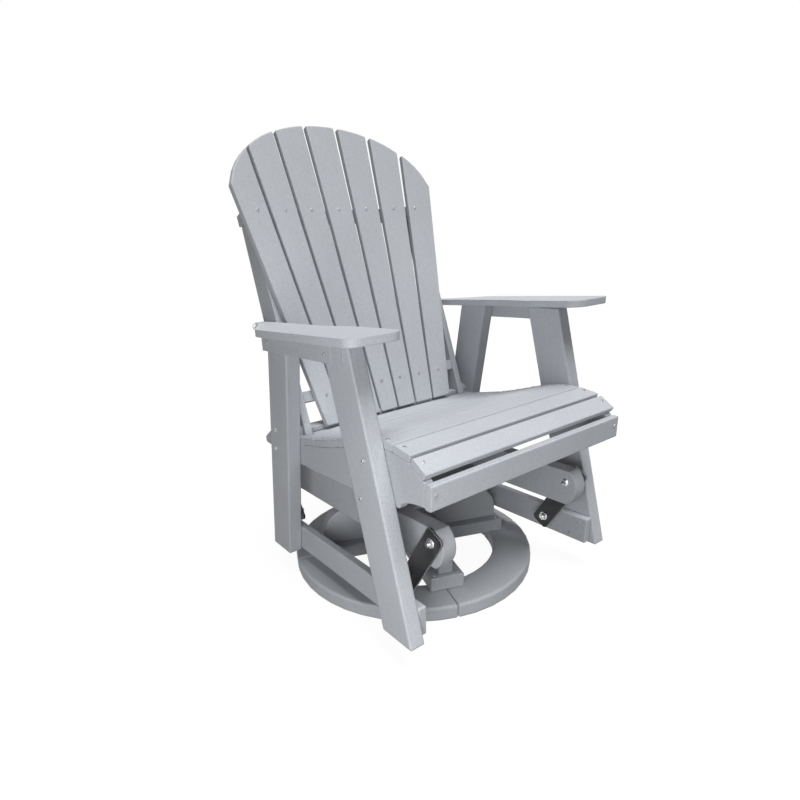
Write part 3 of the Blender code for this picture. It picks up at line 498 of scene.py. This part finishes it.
def bolt_rings(head_face, nut_face, washer, tube=()):
    """Rings (x, radius, flat) from the middle of the head to the tip of the thread."""
    way = math.copysign(1, nut_face - head_face)
    head = head_face - way * SEAT_GAP
    seat = nut_face + way * SEAT_GAP
    under_nut = seat + way * WASHER_HEIGHT
    nut_end = under_nut + way * NUT[1]
    radius, height = BOLT_HEAD
    profile = [(head - way * height * rise, radius * share, None) for rise, share in HEAD_DOME]
    profile += [(head, BOLT, None), *[(x, r, None) for x, r in tube], (seat, BOLT, None)]
    profile += [
        (seat, washer - SOFT, None),
        (seat + way * SOFT, washer, None),
        (under_nut - way * SOFT, washer, None),
        (under_nut, washer - SOFT, None),
        (under_nut, NUT_FACE, None),
        (under_nut + way * NUT_CHAMFERS[0], NUT_CORNER, NUT[0]),
        (nut_end - way * NUT_CHAMFERS[1], NUT_CORNER, NUT[0]),
        (nut_end, NUT_FACE, None),
        (nut_end, BOLT + COUNTERSINK, None),
        (nut_end - way * THREAD_START[0], THREAD_START[1], None),
    ]
    for k in range(THREAD_TURNS):
        start = nut_end + way * THREAD_OUT * k / THREAD_TURNS
        profile.append((start, THREAD_ROOT, None))
        profile.append((start + way * THREAD_OUT * 0.5 / THREAD_TURNS, BOLT, None))
    for left, end_radius in THREAD_TIP:
        profile.append((nut_end + way * (THREAD_OUT - left), end_radius, None))
    return profile


def bolt_ring(x, radius, flat):
    """A round ring, or a hexagon whose corners are cut to the radius."""

    def ring(angle):
        if flat is None:
            return radius, x
        off = (angle + math.pi / 6) % (math.pi / 3) - math.pi / 6
        return min(flat / math.cos(off), radius), x

    return ring


def add_bolt(name, body, y, z, profile):
    """Bolt along X at (y, z)."""
    bm = bmesh.new()
    along_x = Matrix(((0, 0, 1, 0), (1, 0, 0, y), (0, 1, 0, z), (0, 0, 0, 1)))
    add_rings(bm, [bolt_ring(*ring) for ring in profile], 36, along_x)
    return finish_piece(name, bm, bolt_steel, body)


def middle(node):
    """Where the node's axis along X is."""
    low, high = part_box(node)
    return (low.y + high.y) / 2, (low.z + high.z) / 2


def faces_out(node):
    """The node's inner and outer face, as distances from the chair's middle plane."""
    low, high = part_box(node)
    return sorted((abs(low.x), abs(high.x)))


for end in ("front", "rear"):
    washer = WASHER_RADIUS if end == "front" else WIDE_WASHER_RADIUS
    for side, way in SIDES.items():
        beam_inner, _ = faces_out(f"glider_beam_{side}")
        link_inner, link_outer = faces_out(f"{end}_link_{side}")
        rail_inner, rail_outer = faces_out(f"bottom_rail_{side}")

        node = f"upper_pivot_bolt_{end}_{side}"
        profile = bolt_rings(way * beam_inner, way * link_outer, WASHER_RADIUS)
        bolt = add_bolt(f"upper_bolt_{end}_{side}", "glider_frame", *middle(node), profile)
        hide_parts(node)

        node = f"lower_pivot_bolt_{end}_{side}"
        start, stop = rail_inner - SEAT_GAP, link_outer + RUNNING_GAP
        flange = stop + WASHER_HEIGHT
        tube = [
            (way * start, BOLT),
            (way * start, TUBE_RADIUS - SOFT),
            (way * (start - SOFT), TUBE_RADIUS),
            (way * flange, TUBE_RADIUS),
            (way * flange, washer - SOFT),
            (way * (flange - SOFT), washer),
            (way * (stop + SOFT), washer),
            (way * stop, washer - SOFT),
            (way * stop, BOLT),
        ]
        profile = bolt_rings(way * rail_outer, way * link_inner, washer, tube)
        bolt = add_bolt(f"lower_bolt_{end}_{side}", "chair", *middle(node), profile)
        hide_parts(node)


# The four links.
# Flat steel plates, sheared square and drilled at both ends, coated black.
# A bright metallic colour is painted along their sheared edges as a highlight.

COATING = (0.022, 0.023, 0.026, 1)
COATING_DUSTY = (0.085, 0.086, 0.092, 1)
# Colour of the highlight painted along the links' edges.
LINK_EDGE_HIGHLIGHT = (0.62, 0.62, 0.64, 1)


def build_coating():
    """Black coating with a fine orange peel and a dusty bloom."""
    group, given, made = new_group(
        "Black coating",
        [("Position", "Vector", None), ("Color", "Color", COATING), ("Bloom", "Float", 0.5)],
        [("Color", "Color"), ("Roughness", "Float"), ("Height", "Float")],
    )
    dust = remap(group, noise(group, given["Position"], 38, 5, 0.6), 0.45, 0.75)
    bloom = calc(group, "MULTIPLY", dust, given["Bloom"])
    feed(
        group,
        made,
        {
            "Color": mix_colours(group, bloom, given["Color"], COATING_DUSTY),
            "Roughness": calc(group, "MULTIPLY_ADD", dust, 0.22, 0.34),
            "Height": noise(group, given["Position"], 850, 2),
        },
    )
    return group


black_coating = build_coating()


def coated_steel(name):
    material, tree, surface = new_material(name)
    place = put(tree, "TexCoord").outputs["Object"]
    coat = put(tree, "Group", {"Position": place}, node_tree=black_coating).outputs
    # The edges are painted bright and metallic, as a highlight.
    edge_highlight = {"Highlight Color": LINK_EDGE_HIGHLIGHT, "Amount": 1.0, "Radius": 0.0012, "Patchiness": 0.25}
    edge = put(tree, "Group", {"Color": coat["Color"], **edge_highlight}, node_tree=edge_highlight_group).outputs
    relief = {"Strength": 0.15, "Distance": 0.0002}
    bump = put(tree, "Bump", {**relief, "Height": coat["Height"], "Normal": edge["Normal"]})
    feed(
        tree,
        surface.inputs,
        {
            "Base Color": edge["Color"],
            "Metallic": remap(tree, edge["Mask"], 0.1, 0.6),
            "Roughness": coat["Roughness"],
            "Normal": bump.outputs[0],
        },
    )
    return material


LINKS = [f"{end}_link_{side}" for end in ("front", "rear") for side in SIDES]
dress(coated_steel("link_coating"), *LINKS)


# The bottom rails.
# A board on edge along the foot of the legs on each side, which hangs on the lower pivot bolts.
# Two screws go out through it into each leg.

rail_lumber = lumber("bottom_rail_lumber", (0, 0, -90), shade=0.97)
dress(rail_lumber, "bottom_rail_left", "bottom_rail_right")
BOTTOM_SCREWS = ((-0.3215, 0.1330), (-0.3000, 0.0930), (0.1700, 0.1330), (0.1950, 0.0930))  # y, z
INSIDE_RAILS = 0.27
bottom_spots = []
for side, way in SIDES.items():
    for y, z in BOTTOM_SCREWS:
        bottom_spots.append((f"bottom_rail_{side}", (way * INSIDE_RAILS, y, z), (way, 0, 0)))
drive_screws("bottom_rail_screws", "chair", bottom_spots)


# The legs.
# Four thick boards lean in from the bottom rails to the arms, outside the seat rails.
# Two washer-head screws go in through each from outside, into the seat rail or the stile behind it.

LEG_LEANS = {"front": 15.3, "back": -9.1}
LEG_SHADES = {"front": 1.0, "back": 0.98}
# Rounding of the legs' edge shading, and width of the highlight painted along their edges.
LEG_SHADED_ROUND = 0.006
for end, lean in LEG_LEANS.items():
    leg_lumber = lumber(f"{end}_leg_lumber", (lean, 90, 0), LEG_SHADES[end], LEG_SHADED_ROUND)
    dress(leg_lumber, *[f"{end}_leg_{side}" for side in SIDES])
LEG_SCREW_HEAD = 0.0060
WASHER_HEAD_RINGS = (  # radius, height over the board, depth of the lobes of the recess
    (1.00, -0.0008, 0),
    (1.00, 0.0008, 0),
    (0.95, 0.0013, 0),
    (0.74, 0.0016, 0),
    (0.70, 0.0030, 0),
    (0.60, 0.0036, 0),
    (0.44, 0.0036, 0.16),
    (0.40, 0.0006, 0.16),
    (0.16, 0.0002, 0.10),
)
LEG_SCREWS = {
    "front": ((-0.2294, 0.4537), (-0.2151, 0.3656)),
    "back": ((0.1441, 0.4306), (0.1528, 0.3798)),
}  # y, z
OUTSIDE_LEGS = 0.40
for side, way in SIDES.items():
    leg_spots = []
    for end, spots in LEG_SCREWS.items():
        for y, z in spots:
            leg_spots.append((f"{end}_leg_{side}", (way * OUTSIDE_LEGS, y, z), (-way, 0, 0)))
    drive_screws(f"leg_screws_{side}", "chair", leg_spots, LEG_SCREW_HEAD, WASHER_HEAD_RINGS)


# The seat.
# Two curved rails on edge, nine slats across them, a sloping nose slat and a board in front.
# One screw at each end holds every slat to its rail. The last slat is notched round the stiles.

dress(lumber("seat_rail_lumber", (0, 0, -90), shade=0.97), "seat_rail_left", "seat_rail_right")
SEAT_SHADES = (1.02, 1.0, 1.03, 0.99, 1.01, 1.0, 0.98, 1.0)
SLAT_SCREWS = (0.2915, 0.004)  # from the middle, and behind a slat's middle line
NOSE_SCREWS = (0.2895, -0.3465, 0.50)
APRON_SCREWS = (0.2895 * 1.01, -0.42, 0.4145)
OVER_SLAT = 0.02
seat_spots = []
for k, shade in enumerate(SEAT_SHADES):
    node = f"seat_slat_{k + 1}"
    dress(lumber(f"seat_slat_lumber_{k + 1}", (0, 0, 0), shade), node)
    low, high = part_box(node)
    y = (low.y + high.y) / 2 + SLAT_SCREWS[1]
    for x in (-SLAT_SCREWS[0], SLAT_SCREWS[0]):
        seat_spots.append((node, (x, y, high.z + OVER_SLAT), (0, 0, -1)))
dress(lumber("front_board_lumber", (0, 0, 0), shade=1.02), "seat_nose", "apron")
for way in (-1, 1):
    x, *place = NOSE_SCREWS
    seat_spots.append(("seat_nose", (way * x, *place), (0, 0, -1)))
    x, *place = APRON_SCREWS
    seat_spots.append(("apron", (way * x, *place), (0, 1, 0)))
drive_screws("seat_screws", "chair", seat_spots)

stile_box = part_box("stile_left")
SEAT_RAIL_FACE = 0.3047
LAST_SLAT = ((0.0725, 0.1080), (0.3983, 0.4143), 0.0535)  # y, z and fall to the back
NOTCH_FRONT = 0.0905
NOTCH_GAP = 0.001
BETWEEN_STILES_BACK = 0.1055
notch = (stile_box[0].x - NOTCH_GAP, stile_box[1].x + NOTCH_GAP)
(front, back), (low, high), fall = LAST_SLAT
half = [
    (SEAT_RAIL_FACE, front),
    (SEAT_RAIL_FACE, back),
    (notch[1], back),
    (notch[1], NOTCH_FRONT),
    (notch[0], NOTCH_FRONT),
    (notch[0], BETWEEN_STILES_BACK),
]
outline = half + [(-x, y) for x, y in reversed(half)]
ends = [[(x, y, z - (y - front) * fall) for x, y in outline] for z in (low, high)]
add_board("seat_slat_9", ends, lumber("seat_slat_lumber_9", (0, 0, 0), shade=0.99), "chair")


# The arms.
# Broad boards shaped like paddles lie on the legs, each stiffened by a strip along its underside.
# They rise a little to the front. A bolt through the stile holds the narrow back end.

ARM_CORNERS = (
    (0.2640, -0.2790, 0.034),
    (0.3950, -0.2790, 0.026),
    (0.3950, 0.0900, 0.080),
    (0.3160, 0.2250, 0.060),
    (0.3160, 0.2560, 0.012),
    (0.2837, 0.2560, 0.012),
    (0.2837, -0.0279, 0.080),
    (0.2640, -0.1279, 0.080),
)  # x, y and radius
ARM_RISE = 0.033
ARM_HEIGHTS = (0.6779, 0.6939)  # underside and top, above the middle of the legs
ARM_EDGE = 0.005
SUPPORT_HEIGHTS = (0.0356, 0.0401)  # back and front
ARM_BOLT = (0.2380, 0.0080)  # y, washer radius
SUPPORT_SCREWS = (-0.152, 0.086)
OUTSIDE_SUPPORT = (0.39, 0.6600)  # x, z
SUPPORT_GAP = 0.0003


def round_corners(corners, step=math.radians(15)):
    """Outline with an arc at each corner."""
    points = []
    for k, (x, y, radius) in enumerate(corners):
        here = Vector((x, y))
        before = (Vector(corners[k - 1][:2]) - here).normalized()
        after = (Vector(corners[(k + 1) % len(corners)][:2]) - here).normalized()
        half = before.angle(after) / 2
        centre = here + (before + after).normalized() * radius / math.sin(half)
        start, end = [here + way * radius / math.tan(half) - centre for way in (before, after)]
        turn = math.pi - 2 * half
        count = max(1, math.ceil(turn / step))
        for n in range(count + 1):
            share = n / count
            arc = start * math.sin((1 - share) * turn) + end * math.sin(share * turn)
            points.append(tuple(centre + arc / math.sin(turn)))
    return points


def arm_height(level, y):
    return level - ARM_RISE * y


arm_lumber = lumber("arm_lumber", (0, 0, -90), shade=1.03)
support_lumber = lumber("arm_support_lumber", (0, 0, -90), shade=0.97)
arm_spots = []
for side, way in SIDES.items():
    x, z = OUTSIDE_SUPPORT
    for y in SUPPORT_SCREWS:
        arm_spots.append((f"arm_support_{side}", (way * x, y, z), (-way, 0, 0)))
drive_screws("arm_support_screws", "chair", arm_spots)
for side, way in SIDES.items():
    outline = round_corners([(way * x, y, radius) for x, y, radius in ARM_CORNERS])
    ends = [[(x, y, arm_height(level, y)) for x, y in outline] for level in ARM_HEIGHTS]
    arm = add_board(f"rising_arm_{side}", ends, arm_lumber, "chair", ARM_EDGE)
    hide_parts(f"arm_{side}")

    node = f"arm_support_{side}"
    low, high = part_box(node)
    tops = [(y, arm_height(ARM_HEIGHTS[0] - SUPPORT_GAP, y)) for y in (low.y, high.y)]
    outline = tops + [(y, z - drop) for (y, z), drop in zip(tops[::-1], SUPPORT_HEIGHTS)]
    ends = seen_from_side(outline, low.x, high.x)
    support = add_board(f"rising_support_{side}", ends, support_lumber, "chair")
    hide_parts(node)

    y, washer = ARM_BOLT
    tail = max(x for x, _, _ in ARM_CORNERS[4:6])
    profile = bolt_rings(way * stile_box[0].x, way * tail, washer)
    add_bolt(f"arm_bolt_{side}", "chair", y, arm_height(sum(ARM_HEIGHTS) / 2, y), profile)


# The back.
# Seven tapering slats spread like a fan and stand in a shallow hollow, cut to one curve at the top.
# Two braces behind take one screw from each slat, and a board below closes the gap to the seat.

RECLINE = 19.6
FAN = math.degrees(math.atan(0.0480))  # turn from one slat to the next
SLAT_SHADES = (0.98, 1.0, 0.99, 1.01, 1.0, 1.02, 1.0)
UPPER_SCREWS = (-0.262, -0.176, -0.094, -0.004, 0.087, 0.180, 0.252)
LOWER_SCREWS = (-0.199, -0.133, -0.066, -0.006, 0.060, 0.1285, 0.1975)
UPPER_PLACE = (0.10, 0.9505)  # y in front of the slats, and z
LOWER_PLACE = (0.0, 0.4975)
back_spots = []
for k, shade in enumerate(SLAT_SHADES):
    node = f"back_slat_{k + 1}"
    dress(lumber(f"back_slat_lumber_{k + 1}", (RECLINE, 90 - (k - 3) * FAN, 0), shade), node)
    back_spots.append((node, (UPPER_SCREWS[k], *UPPER_PLACE), (0, 1, 0)))
    back_spots.append((node, (LOWER_SCREWS[k], *LOWER_PLACE), (0, 1, 0)))
drive_screws("back_screws", "chair", back_spots)
dress(lumber("brace_lumber", (0, 0, 0), shade=0.95), "upper_brace", "lower_brace")
FOOT_BOARD = (0.1480, 0.4000, 0.4246)  # back face, underside and top
FOOT_BOARD_FRONT = 0.1110  # no further forward than this
FOOT_BOARD_EDGE = 0.0015
SLAT_HALF = 0.032  # half the width of a slat's foot
BEHIND_BACK = 0.25
reach = stile_box[0].x - BOARD_GAP
edges = sorted({reach, -reach, *[x + side * SLAT_HALF for x in LOWER_SCREWS for side in (-1, 1)]})
front_edge = []
for x in edges:
    start = Vector((x, BEHIND_BACK, FOOT_BOARD[2]))
    y = FOOT_BOARD_FRONT
    for k in range(len(SLAT_SHADES)):
        found, point, *_ = nodes[f"back_slat_{k + 1}"].ray_cast(start, Vector((0, -1, 0)))
        if found:
            y = max(y, point.y + BOARD_GAP)
    front_edge.append((x, y))
outline = [*front_edge, (reach, FOOT_BOARD[0]), (-reach, FOOT_BOARD[0])]
ends = [[(x, y, z) for x, y in outline] for z in FOOT_BOARD[1:]]
foot_lumber = lumber("foot_board_lumber", (0, 0, 0), shade=0.96)
add_board("foot_board", ends, foot_lumber, "chair", FOOT_BOARD_EDGE)


# The stiles.
# A leaning board behind each side of the back, bolted to the back leg and the arm below.
# One screw through the head of each holds the upper brace.

STILE_LEAN = 16.3
STILE_OUTLINE = ((0.1678, 0.3520), (0.3318, 0.9128), (0.2823, 0.9304), (0.0753, 0.3520))
STILE_SCREW = (0.2724, 0.45, 0.905)
stile_lumber = lumber("stile_lumber", (STILE_LEAN, 90, 0), shade=0.96)
stile_spots = []
for side, way in SIDES.items():
    x, *place = STILE_SCREW
    stile_spots.append((f"stile_{side}", (way * x, *place), (0, -1, 0)))
drive_screws("stile_screws", "chair", stile_spots)
for side, way in SIDES.items():
    ends = seen_from_side(STILE_OUTLINE, *sorted((way * stile_box[0].x, way * stile_box[1].x)))
    stile = add_board(f"straight_stile_{side}", ends, stile_lumber, "chair")
    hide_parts(f"stile_{side}")


# The floor.
# A plain white studio floor that shows white and keeps the chair's shadow.

def white_where_seen(tree, seen, unseen):
    """A strength for what the camera sees straight or in metal and glass, and one for the rest."""
    path = put(tree, "LightPath").outputs
    first = calc(tree, "MAXIMUM", path["Is Camera Ray"], path["Is Glossy Ray"])
    any_ray = calc(tree, "MAXIMUM", first, path["Is Transmission Ray"])
    return remap(tree, any_ray, 0.0, 1.0, unseen, seen)


FLOOR_HALF = 6.0
FLOOR_GREY = 0.07
FLOOR_SEEN = 0.95
WORLD_SEEN, WORLD_UNSEEN = 1.0, 0.055
bm = bmesh.new()
bmesh.ops.create_grid(bm, x_segments=8, y_segments=8, size=FLOOR_HALF)
floor_mesh = bpy.data.meshes.new("floor")
bm.to_mesh(floor_mesh)
bm.free()
floor = bpy.data.objects.new("floor", floor_mesh)
bpy.context.scene.collection.objects.link(floor)
paper, tree, surface = new_material("floor_paper")
surface.inputs["Base Color"].default_value = (FLOOR_GREY, FLOOR_GREY, FLOOR_GREY, 1)
surface.inputs["Roughness"].default_value = 0.9
surface.inputs["Specular IOR Level"].default_value = 0.0
surface.inputs["Emission Color"].default_value = (1, 1, 1, 1)
feed(tree, surface.inputs, {"Emission Strength": white_where_seen(tree, FLOOR_SEEN, 0.0)})
floor_mesh.materials.append(paper)

world = bpy.data.worlds.new("studio")
bpy.context.scene.world = world
world.use_nodes = True
tree = world.node_tree
background = tree.nodes["Background"]
background.inputs["Color"].default_value = (1, 1, 1, 1)
feed(tree, background.inputs, {"Strength": white_where_seen(tree, WORLD_SEEN, WORLD_UNSEEN)})


# The lamps.
# A broad light from above, and a lamp low on the left in front, which fades to the far side.

SUN = ((0.06, -0.28, 0.95), 3.55, 40.0)  # from where, strength, width in degrees
LAMP = ((-1.20, -0.98, 0.48), (-0.2, -0.15, 0.42), 0.9, 14.0)  # place, aim, size, power


def hang(name, kind, place, way, **settings):
    """A light that shines along a direction."""
    lamp = bpy.data.lights.new(name, kind)
    for label, value in settings.items():
        setattr(lamp, label, value)
    holder = bpy.data.objects.new(name, lamp)
    holder.location = place
    holder.visible_camera = False
    holder.rotation_mode = "QUATERNION"
    holder.rotation_quaternion = Vector(way).to_track_quat("-Z", "Y")
    bpy.context.scene.collection.objects.link(holder)


place, strength, width = SUN
hang("sun", "SUN", place, -Vector(place), energy=strength, angle=math.radians(width))
place, aim, size, power = LAMP
hang("lamp", "AREA", place, Vector(aim) - Vector(place), shape="SQUARE", size=size, energy=power)


# The camera.
# It stands where the photograph was taken from, turned and tilted as that camera was.

CAMERA_PLACE = (-0.9217, -1.04397, 0.8468)
YAW, PITCH, ROLL = 0.5977, -0.3566, -0.0608
camera = bpy.data.cameras.new("camera")
camera.lens = 24.435
camera.shift_x = 0.0596
camera.shift_y = 0.0646
camera_holder = bpy.data.objects.new("camera", camera)
ahead = Vector((math.sin(YAW) * math.cos(PITCH), math.cos(YAW) * math.cos(PITCH), math.sin(PITCH)))
level = Vector((math.cos(YAW), -math.sin(YAW), 0))
above = level.cross(ahead)
right = level * math.cos(ROLL) + above * math.sin(ROLL)
up = above * math.cos(ROLL) - level * math.sin(ROLL)
turn = Matrix((right, up, -ahead)).transposed().to_4x4()
camera_holder.matrix_world = Matrix.Translation(CAMERA_PLACE) @ turn
bpy.context.scene.collection.objects.link(camera_holder)
bpy.context.scene.camera = camera_holder
bpy.context.scene.view_settings.view_transform = "Standard"
